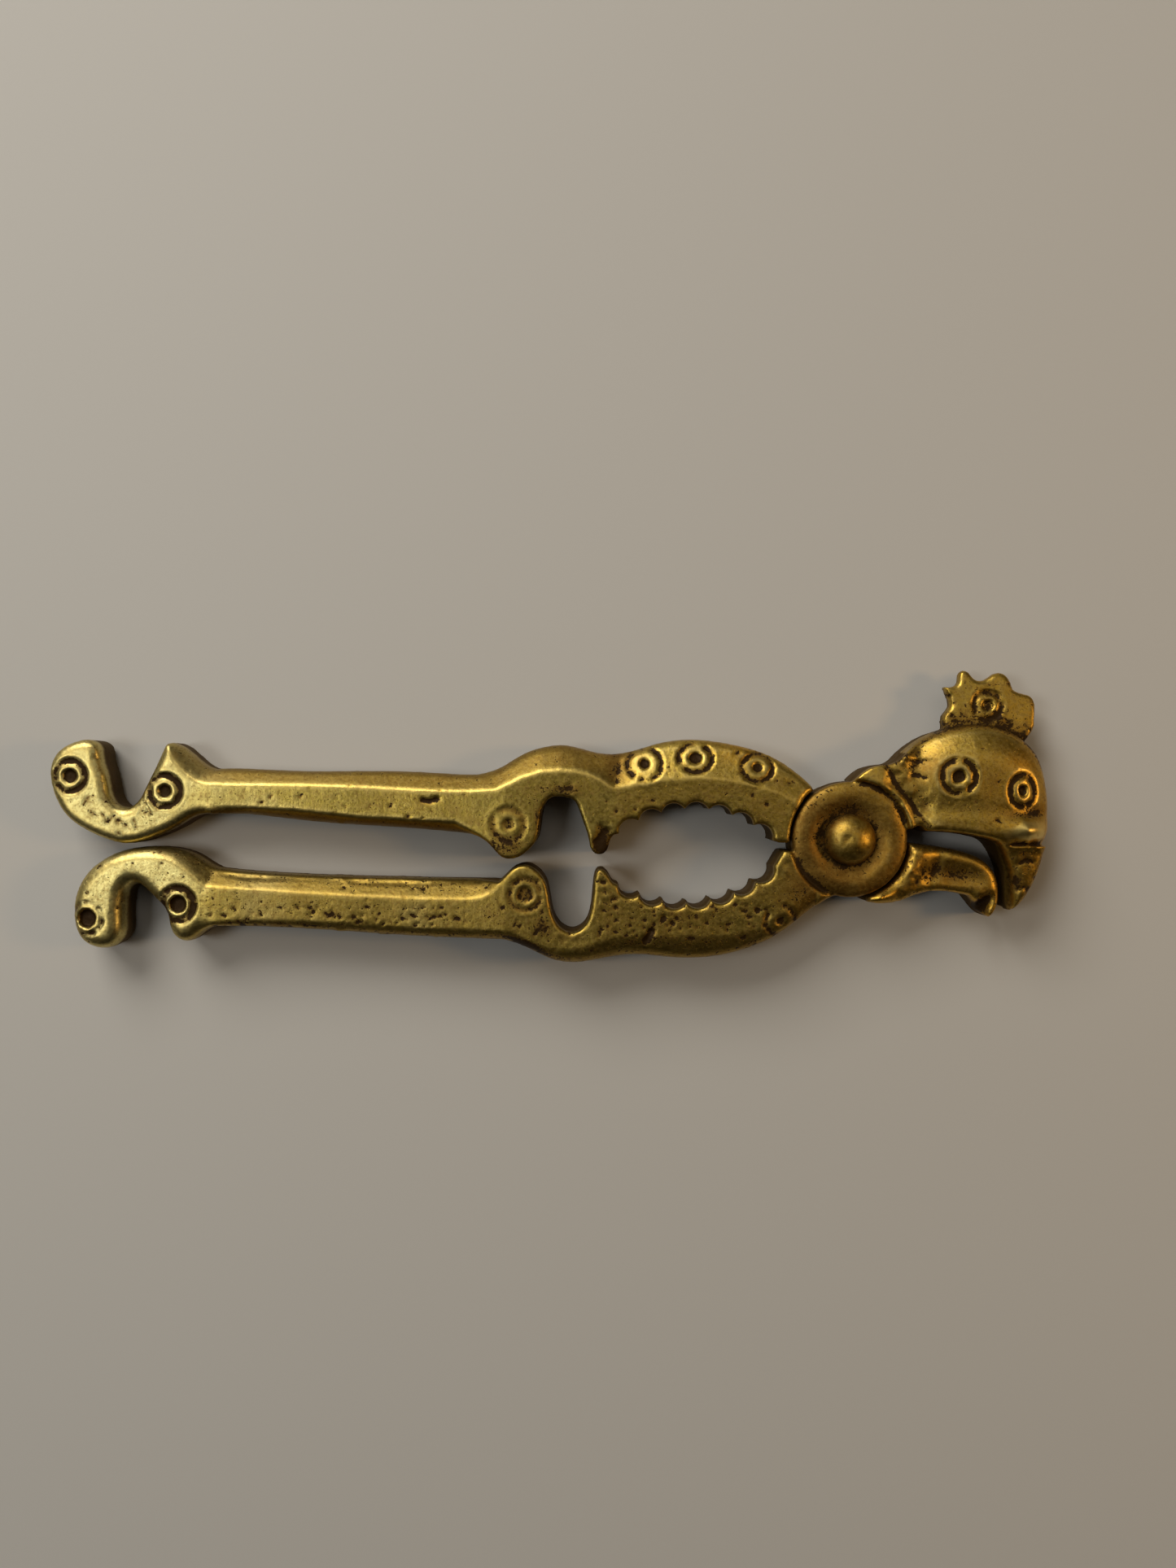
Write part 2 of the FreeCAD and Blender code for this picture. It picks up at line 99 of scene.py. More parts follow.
def lattice_noise(x, y, scale, seed):
    """Value noise between -1 and 1 with blobs of about the given size."""
    table = np.random.default_rng(seed).uniform(-1, 1, (TABLE, TABLE))
    u = x / scale + 311.7
    v = y / scale + 173.3
    i = np.floor(u).astype(int)
    j = np.floor(v).astype(int)
    fu = u - i
    fv = v - j
    fu = fu * fu * (3 - 2 * fu)
    fv = fv * fv * (3 - 2 * fv)
    i0, j0, i1, j1 = i % TABLE, j % TABLE, (i + 1) % TABLE, (j + 1) % TABLE
    low = table[i0, j0] * (1 - fu) + table[i1, j0] * fu
    high = table[i0, j1] * (1 - fu) + table[i1, j1] * fu
    return low * (1 - fv) + high * fv


def rough_noise(x, y, scale, seed, octaves=4):
    """Several layers of value noise, each half the size and half the strength of the one before."""
    total = 0.0
    for level in range(octaves):
        total = total + lattice_noise(x, y, scale / 2**level, seed + level) / 2**level
    return total / 1.6


def sampled(points, gap=0.08):
    """Closely spaced points along a polyline."""
    out = []
    for a, b in zip(points, points[1:]):
        a = np.array(a, float)
        b = np.array(b, float)
        count = max(int(np.linalg.norm(b - a) / gap), 1)
        out.append(a + (b - a) * np.linspace(0, 1, count, endpoint=False)[:, None])
    out.append(np.array([points[-1]], float))
    return np.concatenate(out)


def nearest(spots, x, y, mask=None):
    """Distance from each grid place to the nearest of the spots. Where mask is False it's left far."""
    tree = kdtree.KDTree(len(spots))
    for number, (sx, sy) in enumerate(spots):
        tree.insert((sx, sy, 0.0), number)
    tree.balance()
    shape = x.shape
    out = np.full(x.size, FAR)
    chosen = np.arange(x.size) if mask is None else np.flatnonzero(mask.ravel())
    flat_x = x.ravel()
    flat_y = y.ravel()
    find = tree.find
    out[chosen] = [find((flat_x[n], flat_y[n], 0.0))[2] for n in chosen]
    return out.reshape(shape)


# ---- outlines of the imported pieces


def cut_lines(node, height):
    """The line segments, in millimetres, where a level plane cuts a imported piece."""
    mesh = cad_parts[node].data
    mesh.calc_loop_triangles()
    spots = np.zeros(len(mesh.vertices) * 3)
    mesh.vertices.foreach_get("co", spots)
    spots = spots.reshape(-1, 3) / MM
    corners = np.zeros(len(mesh.loop_triangles) * 3, int)
    mesh.loop_triangles.foreach_get("vertices", corners)
    tris = spots[corners.reshape(-1, 3)]
    side = tris[:, :, 2] > height + 1e-6
    lines = []
    for a, b, c in ((0, 1, 2), (1, 2, 0), (2, 0, 1)):
        # The corner a is alone on its side of the plane.
        alone = (side[:, a] != side[:, b]) & (side[:, a] != side[:, c])
        t = tris[alone]
        ends = []
        for other in (b, c):
            k = (height - t[:, a, 2]) / (t[:, other, 2] - t[:, a, 2])
            ends.append(t[:, a, :2] + (t[:, other, :2] - t[:, a, :2]) * k[:, None])
        lines.append(np.stack(ends, 1))
    return np.concatenate(lines)


def inside(lines, x, y):
    """Which grid places lie within closed cut lines, by counting crossings along +X."""
    out = np.zeros(x.shape, bool)
    xs = x[:, 0]
    for row in range(x.shape[1]):
        level = y[0, row] + 1.234e-5
        a = lines[:, 0]
        b = lines[:, 1]
        hit = (a[:, 1] > level) != (b[:, 1] > level)
        a = a[hit]
        b = b[hit]
        where = np.sort(a[:, 0] + (b[:, 0] - a[:, 0]) * (level - a[:, 1]) / (b[:, 1] - a[:, 1]))
        out[:, row] = (len(where) - np.searchsorted(where, xs)) % 2 == 1
    return out


def line_spots(lines, gap=0.1):
    """Closely spaced points along cut lines."""
    length = np.linalg.norm(lines[:, 1] - lines[:, 0], axis=1)
    out = [lines[:, 0], lines[:, 1]]
    for part in range(1, MOST_SPOTS):
        long = length > gap * part
        share = gap * part / np.maximum(length, 1e-9)
        out.append((lines[:, 0] + (lines[:, 1] - lines[:, 0]) * share[:, None])[long])
    return np.concatenate(out)


def without_hole(lines):
    """Cut lines without the pivot hole's, which lie within NEAR_PIVOT of the axis."""
    return lines[np.linalg.norm(lines, axis=2).min(1) > NEAR_PIVOT]


def outline(node, height, x, y):
    """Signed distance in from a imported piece's outline at a height; the pivot hole is left out."""
    lines = without_hole(cut_lines(node, height))
    away = nearest(line_spots(lines), x, y)
    return np.where(inside(lines, x, y), away, -away)


# ---- meshing a solid


def surface_net(field, origin, steps):
    """Vertices and outward quads where a 3-D field passes through 0. The field is negative inside."""
    shape = np.array(field.shape)
    cells = shape - 1
    stride = np.array([cells[1] * cells[2], cells[2], 1])
    low_in = field < 0
    owners = []
    spots = []
    quads = []
    for axis in range(3):
        u, v = (axis + 1) % 3, (axis + 2) % 3
        first = [slice(None)] * 3
        second = [slice(None)] * 3
        first[axis] = slice(0, -1)
        second[axis] = slice(1, None)
        cross = low_in[tuple(first)] != low_in[tuple(second)]
        index = np.argwhere(cross)
        keep = (index[:, u] > 0) & (index[:, v] > 0)
        keep &= (index[:, u] < shape[u] - 1) & (index[:, v] < shape[v] - 1)
        index = index[keep]
        a = field[tuple(first)][tuple(index.T)]
        b = field[tuple(second)][tuple(index.T)]
        place = index.astype(float)
        place[:, axis] += a / (a - b)
        ring = []
        for du, dv in ((0, 0), (1, 0), (1, 1), (0, 1)):
            cell = index.copy()
            cell[:, u] -= du
            cell[:, v] -= dv
            ring.append(cell @ stride)
            owners.append(ring[-1])
            spots.append(place)
        ring = np.stack(ring, 1)
        quads.append(np.where((a < 0)[:, None], ring, ring[:, ::-1]))
    owners = np.concatenate(owners)
    spots = np.concatenate(spots)
    quads = np.concatenate(quads)
    names, which = np.unique(owners, return_inverse=True)
    count = np.bincount(which)
    verts = np.stack([np.bincount(which, spots[:, k]) / count for k in range(3)], 1)
    verts = verts * np.array(steps) + np.array(origin)
    return verts, np.searchsorted(names, quads)


def sample(grid, low, x, y):
    """Bilinear lookup of a 2-D map at scattered places."""
    u = np.clip((x - low[0]) / STEP, 0, grid.shape[0] - 1.001)
    v = np.clip((y - low[1]) / STEP, 0, grid.shape[1] - 1.001)
    i = u.astype(int)
    j = v.astype(int)
    fu = u - i
    fv = v - j
    a = grid[i, j] * (1 - fu) + grid[i + 1, j] * fu
    b = grid[i, j + 1] * (1 - fu) + grid[i + 1, j + 1] * fu
    return a * (1 - fv) + b * fv


def mesh_object(name, verts, quads, maps):
    """An object made of smooth quads in millimetres, with the maps stored on its vertices."""
    mesh = bpy.data.meshes.new(name)
    mesh.vertices.add(len(verts))
    mesh.vertices.foreach_set("co", (verts * MM).astype(np.float32).ravel())
    mesh.loops.add(quads.size)
    mesh.loops.foreach_set("vertex_index", quads.astype(np.int32).ravel())
    mesh.polygons.add(len(quads))
    mesh.polygons.foreach_set("loop_start", np.arange(0, quads.size, 4, dtype=np.int32))
    mesh.update(calc_edges=True)
    mesh.validate()
    mesh.polygons.foreach_set("use_smooth", np.ones(len(mesh.polygons), bool))
    for key, values in maps.items():
        layer = mesh.attributes.new(key, "FLOAT", "POINT")
        layer.data.foreach_set("value", values.astype(np.float32))
    thing = bpy.data.objects.new(name, mesh)
    bpy.context.scene.collection.objects.link(thing)
    return thing


# ---- sculpting: a Relief is a lever's height map with its maps of dirt, tone and brown film, where dirt and film also hold painted shade and painted highlights


class Relief:
    """A grid over one lever, with its top's height and its soiling, tone and brown coating at each place;
    the soiling and coating maps also hold painted shade and painted highlights.
    """

    def __init__(self, node):
        low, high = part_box(node)
        self.low = np.array([low.x, low.y]) / MM - MARGIN
        high = np.array([high.x, high.y]) / MM + MARGIN
        nx = int((high[0] - self.low[0]) / STEP) + 2
        ny = int((high[1] - self.low[1]) / STEP) + 2
        self.x = np.repeat((self.low[0] + np.arange(nx) * STEP)[:, None], ny, 1)
        self.y = np.repeat((self.low[1] + np.arange(ny) * STEP)[None, :], nx, 0)
        self.r = np.hypot(self.x, self.y)
        self.top = np.zeros((nx, ny))
        self.dirt_and_painted_light = np.zeros((nx, ny))
        self.tone = np.zeros((nx, ny))
        self.film_and_painted_light = np.zeros((nx, ny))
        self.edge = outline(node, BODY_CUT, self.x, self.y)

    def along(self, *knots):
        """A value that depends on X, straight between knots of (x, value)."""
        xs, values = zip(*knots)
        return np.interp(self.x, xs, values)

    def beyond(self, line, side):
        """Distance past a ridge line towards +Y (side 1) or -Y (side -1), and 0 on its other side."""
        xs, ys = zip(*line)
        past = (self.y - np.interp(self.x, xs, ys)) * side > 0
        past &= (self.x > xs[0]) & (self.x < xs[-1]) & (self.edge > -SKIRT)
        away = nearest(sampled(line), self.x, self.y, past)
        return np.where(past, away, 0.0)

    def window(self, x, y, reach):
        """The part of the grid within reach of a place."""
        i0, j0 = ((np.array([x, y]) - reach - self.low) / STEP).astype(int)
        i1, j1 = ((np.array([x, y]) + reach - self.low) / STEP).astype(int) + 1
        i0, j0 = max(i0, 0), max(j0, 0)
        return slice(i0, max(i1, i0)), slice(j0, max(j1, j0))

    def blob(self, x, y, wide, tall, turn=0.0):
        """A soft spot, 1 in the middle, turned by an angle in degrees."""
        c, s = math.cos(math.radians(turn)), math.sin(math.radians(turn))
        u = ((self.x - x) * c + (self.y - y) * s) / wide
        v = (-(self.x - x) * s + (self.y - y) * c) / tall
        return np.exp(-(u * u + v * v))

    def groove(self, line, half, depth, dirt_and_painted_light):
        """A soft groove along a line."""
        near = nearest(sampled(line), self.x, self.y, self.edge > -SKIRT)
        shape = np.exp(-((near / half) ** 2))
        self.top -= depth * shape
        self.dirt_and_painted_light = np.maximum(self.dirt_and_painted_light, dirt_and_painted_light * shape)

    def mark(
        self, x, y, dot, inner, outer, seed, depth=0.3, squash=1.0, broken=0.0, dot_depth=0.5, stain=0.6
    ):
        """A punched dot in a ring whose groove is rough and, where broken, partly missing."""
        where = self.window(x, y, outer + 1.6)
        dx = self.x[where] - x
        dy = (self.y[where] - y) / squash
        rough = rough_noise(dx, dy, 0.7, seed, 2)
        away = np.hypot(dx, dy) + 0.15 * rough
        angle = np.arctan2(dy, dx)
        waver = np.sin(angle * 2 + seed) + 0.7 * np.sin(angle * 3 + seed * 1.7)
        waver = waver + 0.5 * np.sin(angle * 7 + seed)
        present = step01(-0.5, 0.3, waver + 1.6 - 2.6 * broken + 0.8 * rough)
        ring = step01(inner - 0.2, inner + 0.3, away) * step01(outer + 0.1, outer - 0.3, away) * present
        hole = step01(dot + 0.1, dot - 0.35, np.hypot(dx, dy) + 0.12 * rough)
        outer_rim = np.exp(-(((away - outer - 0.35) / 0.3) ** 2))
        rim = outer_rim + np.exp(-(((away - (inner + dot) / 2) / 0.35) ** 2))
        self.top[where] += 0.03 * rim - depth * ring * (0.75 + 0.5 * rough) - dot_depth * hole
        cut = np.maximum(ring, hole)
        self.dirt_and_painted_light[where] = np.maximum(self.dirt_and_painted_light[where], stain * cut * (1.0 + 0.7 * rough))
        self.film_and_painted_light[where] = np.maximum(self.film_and_painted_light[where], 0.7 * cut)
        self.dirt_and_painted_light[where] -= 0.1 * rim * (1 - cut)

    def pits(self, count, seed, area, small=0.13, large=0.3, depth=0.12):
        """Casting pits and nicks at random places in an area (x0, x1, y0, y1)."""
        rng = np.random.default_rng(seed)
        for _ in range(count):
            x = rng.uniform(area[0], area[1])
            y = rng.uniform(area[2], area[3])
            size = small + (large - small) * rng.random() ** 3
            long = size * rng.uniform(1.0, 2.2)
            turn = rng.uniform(-0.9, 0.9)
            where = self.window(x, y, long * 2)
            dx = self.x[where] - x
            dy = self.y[where] - y
            u = (dx * math.cos(turn) + dy * math.sin(turn)) / long
            v = (-dx * math.sin(turn) + dy * math.cos(turn)) / size
            shape = np.exp(-((u * u + v * v) ** 1.5))
            self.top[where] -= depth * min(size / large + 0.35, 1.0) * shape
            self.dirt_and_painted_light[where] = np.maximum(self.dirt_and_painted_light[where], shape * rng.uniform(0.45, 0.95))

    def hollows(self):
        """Dirt lies where the top is lower than its surroundings, and rubs off where it is higher."""
        wide = self.top.copy()
        for _ in range(10):  # a blur of about a millimetre
            for axis in (0, 1):
                wide = (wide + np.roll(wide, 1, axis) + np.roll(wide, -1, axis)) / 3
        sunk = np.where(self.edge > 1.0, wide - self.top, 0.0)
        self.dirt_and_painted_light += np.clip(sunk * 3.0, -0.3, 0.7)
        patchy = step01(-0.5, 0.6, rough_noise(self.x, self.y, 1.6, 99, 3))
        self.dirt_and_painted_light -= 0.3 * np.exp(-(((self.edge - 0.25) / 0.25) ** 2)) * patchy


def lever_object(relief, node, body, walls, base, face, extra=None):
    """Meshes a relief: walls(z, slab) is the solid's field at a height, and face is the top's height."""
    heights = np.arange(-1.0, relief.top.max() + 1.2, RISE)
    field = np.empty((*relief.x.shape, len(heights)), np.float32)
    for level, z in enumerate(heights):
        slab = soft_max(z - relief.top, base - z, 0.5)
        solid = walls(z, slab)
        field[:, :, level] = solid if extra is None else soft_min(solid, extra(z), 0.5)
    verts, quads = surface_net(field, (*relief.low, heights[0]), (STEP, STEP, RISE))
    x, y, z = verts.T
    wall = step01(0.5, 1.8, sample(face, relief.low, x, y) - z)
    dirt_and_painted_light = np.clip(sample(relief.dirt_and_painted_light, relief.low, x, y), -0.6, 1) * (1 - wall)
    tone = sample(relief.tone, relief.low, x, y)
    # Side walls, where the top stands well above them, get a heavy brown coat as painted shade; the
    # material darkens them further.
    film_and_painted_light = np.clip(sample(relief.film_and_painted_light, relief.low, x, y), 0, 1) * (1 - wall) + 0.85 * wall
    maps = {"dirt_and_painted_light": dirt_and_painted_light, "tone": tone, "film_and_painted_light": film_and_painted_light, "wall": wall}
    thing = mesh_object(node + "_casting", verts, quads, maps)
    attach(thing, body)
    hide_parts(node)
    return thing


# ---- beak lever: handle, upper jaw, lower half of the lap, lower beak

upper = Relief("beak_lever")
upper_low = outline("beak_lever", LOW_CUT, upper.x, upper.y)
upper.top += upper.along(
    (-135, 8.1), (-112, 8.3), (-104, 8.5), (-75, 8.7), (-64, 9.1), (-56, 9.6), (5, 9.6), (8, 8.0),
    (30, 7.6),
)

# A bevel falls away on the +Y side of this ridge line, from the hook to the hub.
UPPER_RIDGE = [
    (-111.2, 15.2), (-110.2, 12.9), (-108.3, 10.7), (-106.3, 9.35), (-105, 8.9), (-100, 8.75),
    (-90, 8.7), (-80, 8.4), (-70, 7.85), (-62, 7.65), (-57.6, 7.9), (-55, 9.05), (-53.4, 9.9),
    (-50, 10.9), (-47, 11.15), (-44.9, 11.05), (-42.8, 10.7), (-40.9, 9.9), (-38.4, 8.2),
    (-36.3, 8.5), (-33.7, 9.15), (-31.15, 9.55), (-28.6, 9.8), (-23.5, 9.9), (-18, 9.3),
    (-12, 7.6), (-7, 5.2), (-3, 3.0),
]
past_upper = upper.beyond(UPPER_RIDGE, 1)
upper_slope = upper.along(
    (-111, 0.75), (-104, 0.85), (-65, 0.85), (-58, 0.85), (-50, 0.72), (-42, 0.8), (-38, 0.60),
    (-34, 0.48), (-28, 0.45), (-18, 0.38), (-10, 0.34), (-3, 0.3),
)
upper.top -= upper_slope * np.maximum(soft_max(past_upper - 0.1, 0.0 * past_upper, 0.5), 0)

# The handle's inner side, towards -Y, is bevelled too, and darkened as painted shade, since it lies in the
# other handle's shade.
INNER_RIDGE = [
    (-104, 5.9), (-100, 5.5), (-90, 4.95), (-80, 3.85), (-70, 3.35), (-64, 3.0), (-61.5, 1.6),
]
past_inner = upper.beyond(INNER_RIDGE, -1)
upper.top -= upper.along((-104, 0), (-98, 1.25)) * soft_max(past_inner - 0.2, 0.0 * past_inner, 0.7)
upper.dirt_and_painted_light += 0.2 * step01(0.0, 0.8, past_inner)

# Worn edges: round on the hook and outside the jaw, and sharper along the handle and the teeth.
upper_tail = step01(*HOOK_ENDS, upper.x)
upper_jaw = step01(*JAW_ENDS, upper.x)
upper_middle = upper.along((-62, 6), (-56, 7), (-46, 10), (-38, 8), (-10, 6))
upper_outer = step01(-1, 1, upper.y - upper_middle)
upper.top -= quarter_round(upper.edge, 1.7, 1.4) * upper_tail
upper.top -= quarter_round(upper.edge, 0.8, 0.8) * (1 - upper_tail) * (1 - upper_jaw)
upper.top -= quarter_round(upper.edge, 1.3, 1.0) * upper_jaw * upper_outer * (upper.x < BEAK_START)
upper.top -= quarter_round(upper.edge, 0.4, 0.35) * upper_jaw * (1 - upper_outer) * (upper.x < BEAK_START)

# The lower beak: a rough raised band beside the hub, a hollow middle and a worn upper rim.
beak = upper.x > BEAK_START
band = upper.blob(10.3, -4.4, 1.5, 4.6, -28)
middle = upper.blob(17.5, -5.9, 4.5, 1.9, -6)
upper.top += beak * (0.8 * band - 0.9 * middle - 0.4 * upper.blob(14.2, -5, 1.0, 4.0, -20))
upper.top -= beak * quarter_round(upper.edge, 1.9, 1.5)
upper.top -= beak * 2.6 * upper.blob(22.0, -11.2, 2.0, 1.0, 52)
upper.top += beak * 0.35 * rough_noise(upper.x, upper.y, 1.1, 70) * upper.blob(10.0, -5, 3.0, 5)
upper.dirt_and_painted_light += beak * (0.08 * middle + 0.15 * band + 1.4 * upper.blob(21.9, -11.0, 2.0, 0.9, 52) + 0.05)
upper.dirt_and_painted_light += beak * 0.45 * upper.blob(10.0, -5, 2.6, 5) * rough_noise(upper.x, upper.y, 0.9, 76)
upper.tone += beak * 0.5

# The lip beside the slot is stepped down, and full of dirt.
lip = np.hypot((upper.x + 40.0) / 1.6, (upper.y + 1.2) / 3.4)
lip = step01(1.3, 0.6, lip + 0.3 * rough_noise(upper.x, upper.y, 1.6, 74))
upper.top -= 0.5 * lip
upper.dirt_and_painted_light = np.maximum(upper.dirt_and_painted_light, 0.42 * lip)
upper.film_and_painted_light = np.maximum(upper.film_and_painted_light, 0.95 * lip)

# The punched marks, from the hook to the hub.
upper.mark(-127.0, 10.35, 1.2, 2.0, 3.1, 11)
upper.mark(-111.5, 7.9, 1.1, 2.0, 3.15, 12)
upper.mark(-55.4, 2.45, 1.0, 2.0, 3.1, 13, depth=0.16, broken=0.15, dot_depth=0.2, stain=0.12)
upper.mark(-33.3, 12.3, 0.9, 2.3, 3.2, 14, broken=0.35)
upper.mark(-25.0, 13.25, 1.15, 2.2, 3.2, 15, squash=0.86, broken=0.25)
upper.mark(-14.9, 11.7, 0.95, 2.0, 3.0, 16, squash=0.9, broken=0.15, dot_depth=0.35, stain=0.45)
# Nicks on the hook, one longer pit on the handle, and small pits everywhere.
for ends in (
    ((-123.6, 4.6), (-122.3, 3.8)), ((-121.8, 4.3), (-120.6, 2.9)), ((-121.2, 2.6), (-119.6, 3.9)),
    ((-119.6, 4.0), (-119.0, 2.4)), ((-118.9, 3.3), (-117.4, 2.0)), ((-115.6, 4.2), (-114.2, 6.8)),
    ((-114.9, 6.4), (-113.6, 4.0)), ((-116.6, 3.4), (-116.0, 1.6)), ((-124.8, 5.6), (-124.0, 6.9)),
):
    upper.groove(ends, 0.17, 0.14, 0.55)
upper.groove([(-69.4, 6.4), (-68.3, 6.2), (-67.0, 6.6)], 0.42, 0.25, 0.8)
upper.pits(40, 21, (-130, -104, -1, 16))
upper.pits(34, 22, (-104, -60, 3, 9))
upper.pits(36, 23, (-40, -8, 0, 10))
upper.pits(20, 24, (-40, -8, 9, 16))
upper.top += 0.04 * rough_noise(upper.x, upper.y, 4.0, 31)
upper.top += 0.16 * rough_noise(upper.x, upper.y, 0.9, 32) * (
    upper.blob(-118.5, 6.5, 4, 1.6) + upper.blob(-46.5, 8.0, 3.5, 1.3) + upper.blob(-37.5, 1.5, 2.2, 1.6)
)
# Darker patches on the knee, beside the slot, on the lip, in the hook's notch and under the knee; the faint
# one in the V at (-38, 12) is painted shadow.
upper.dirt_and_painted_light += 0.55 * (
    upper.blob(-46.5, 8.0, 3.2, 1.1) + upper.blob(-50.4, 3.5, 1.0, 3.0) + upper.blob(-40.8, -0.8, 1.5, 1.6)
    + 0.3 * upper.blob(-38.0, 12.0, 1.8, 2.6) + upper.blob(-119, 6.2, 3.0, 0.9)
    + upper.blob(-56.5, -1.0, 4.5, 1.6, 10)
)
upper.hollows()


def upper_walls(z, slab):
    """The beak lever's field: one outline at every height, and the one at LOW_CUT up to LAP_TOP."""
    hole = max(RUNNING, 4.42 - 1.05 * z)  # a countersink for the rivet's foot
    high = soft_max(-upper.edge, slab, 0.45)
    low = soft_max(soft_max(-upper_low, slab, 0.3), z - LAP_TOP, 0.2)
    return np.maximum(np.minimum(high, low), hole - upper.r)


UPPER_BASE = upper.along((-135, 0.8), (-104, 0.7), (-66, 0.6), (-58, 0.0), (30, 0.0))

# ---- head lever: handle, lower jaw, upper half of the lap, neck, head, beak, crest

lower = Relief("head_lever")
lower_low = outline("head_lever", LOW_CUT, lower.x, lower.y)
crest_edge = outline("head_lever", CREST_CUT, lower.x, lower.y)
lower.top += lower.along(
    (-135, 8.1), (-112, 8.3), (-104, 8.5), (-75, 8.7), (-64, 9.1), (-56, 9.6), (4, 9.6),
    (10, 10.0), (14, 10.5), (20, 11.0), (27, 11.0), (33, 10.6),
)
# The handle's bevel falls away towards +Y from one ridge line, and the outer face towards -Y from
# another.
LOWER_RIDGE = [
    (-113.5, -3.0), (-110.5, -4.0), (-108.0, -5.6), (-105, -7.9), (-100, -8.2), (-95, -8.5),
    (-90, -8.85), (-85, -9.15), (-80, -9.4), (-70, -9.85), (-62, -9.9), (-60, -9.6), (-58.4, -8.9),
    (-57.1, -7.6), (-55.8, -5.9),
]
past_lower = lower.beyond(LOWER_RIDGE, 1)
lower_bevel = lower.along((-113, 0.0), (-104, 1), (-56, 1))
lower.top -= 0.85 * soft_max(past_lower - 0.15, 0.0 * past_lower, 0.55) * lower_bevel
LOWER_FACE = [
    (-104, -12.8), (-100, -13.0), (-90, -13.2), (-80, -13.6), (-70, -14.3), (-60, -14.55),
    (-55, -14.8), (-52.3, -16.2), (-50, -17.2), (-47, -17.8), (-44, -17.7), (-41.7, -16.9),
    (-39, -15.9), (-35, -15.4), (-28, -15.6), (-20, -15.4), (-15, -14.2), (-11, -12.0),
    (-8, -9.6), (-5.5, -7.8),
]
past_face = lower.beyond(LOWER_FACE, -1)
face_slope = lower.along(
    (-104, 0.0), (-97, 0.95), (-60, 0.95), (-50, 0.8), (-40, 0.55), (-30, 0.42), (-15, 0.4),
    (-5, 0.35),
)
lower.top -= face_slope * soft_max(past_face - 0.4, 0.0 * past_face, 1.4)

lower_tail = step01(*HOOK_ENDS, lower.x)
lower_jaw = step01(*JAW_ENDS, lower.x) * step01(2, -2, lower.x)
lower_middle = lower.along((-62, -11), (-52, -13), (-45, -17.5), (-38, -14), (-25, -14), (-8, -7))
lower_outer = step01(1, -1, lower.y - lower_middle)
lower.top -= quarter_round(lower.edge, 2.3, 2.0) * lower_tail
lower.top -= quarter_round(lower.edge, 0.9, 0.9) * (1 - lower_tail) * (lower.x < -60)
lower.top -= quarter_round(lower.edge, 1.6, 1.3) * lower_jaw * lower_outer
lower.top -= quarter_round(lower.edge, 0.4, 0.35) * lower_jaw * (1 - lower_outer)

# The hub: a rounded rim, a raised ring and a dish round the rivet's dome.
hub = step01(9.9, 9.3, lower.r)
hub_top = 9.35 - 0.85 * step01(7.2, 3.6, lower.r) - quarter_round(HUB_EDGE - lower.r, 2.6, 1.2)
hub_top += 0.16 * rough_noise(lower.x, lower.y, 4.0, 78, 3)
lower.top = lower.top * (1 - hub) + hub_top * hub

# The neck: a collar that rides up over the hub's rim, and a groove between it and the head.
NECK = [(5.6, 12.3), (6.1, 11.4), (6.9, 9.6), (8.0, 8.0), (9.3, 6.4), (10.3, 5.1), (11.4, 3.6), (12.5, 2.1)]
collar = step01(8.9, 10.4, lower.r) * step01(-3.0, 3.0, lower.y) * (lower.x > -1)
lower.top += 0.12 * collar
knob = np.clip(lower.blob(4.3, 9.1, 2.6, 1.9, -35) + 0.6 * lower.blob(7.2, 6.4, 1.8, 1.7, -45), 0, 1)
lower.top += 0.4 * knob * step01(6.6, 8.6, lower.r)
lower.groove(NECK, 0.4, 0.25, 0.5)
neck_skin = step01(14.5, 10.5, lower.x) * step01(9.8, 11.0, lower.r) * (lower.y < 13)
neck_skin = neck_skin * step01(4.0, 7.0, lower.x)
lower.top += 0.2 * neck_skin * rough_noise(lower.x, lower.y, 1.2, 71) - 0.3 * neck_skin

# The head: domed, with a bulge above the beak and a lower, pitted beak.
skull = step01(8.5, 12.0, lower.x) * step01(9.6, 10.6, lower.r)
dome = 2.7 * (1 - np.clip(lower.edge / 7.0, 0, 1)) ** 2.2
round_off = np.maximum(step01(3.0, 8.0, lower.y), step01(24.0, 29.0, lower.x) * (lower.y > -1))
lower.top -= skull * round_off * dome
lower.top -= skull * quarter_round(lower.edge, 1.0, 0.8)
bill = step01(1.2, -2.6, lower.y - 0.06 * (lower.x - 28)) * (lower.x > 20)
lower.top -= bill * (0.95 + 0.13 * np.clip(-lower.y, 0, 12))
lower.top -= bill * quarter_round(lower.edge, 1.9, 1.4)
lower.top += 1.3 * lower.blob(28.6, 1.5, 3.8, 1.7) - 0.5 * lower.blob(28.9, 4.5, 3.2, 1.1)
lower.dirt_and_painted_light += 0.25 * lower.blob(29.2, 4.6, 2.8, 0.9)
lower.film_and_painted_light += 0.8 * lower.blob(29.2, 4.6, 2.8, 1.1)
lower.top += bill * 0.07 * rough_noise(lower.x, lower.y, 1.6, 72)
lower.groove([(27.2, -3.9), (28.4, -3.3), (29.6, -3.6)], 0.3, 0.2, 0.45)
lower.groove([(27.2, -8.2), (28.2, -7.7), (29.0, -8.0)], 0.3, 0.2, 0.5)
lower.groove([(10.0, 10.4), (11.0, 10.35), (12.2, 10.0)], 0.25, 0.2, 0.6)
lower.groove([(6.3, 7.8), (7.2, 6.9), (8.0, 6.0)], 0.25, 0.35, 0.9)
lower.dirt_and_painted_light += 0.9 * lower.blob(27.2, -6.7, 0.7, 0.8) + 0.22 * bill + 0.6 * lower.blob(4.5, 8.5, 0.7, 0.6)
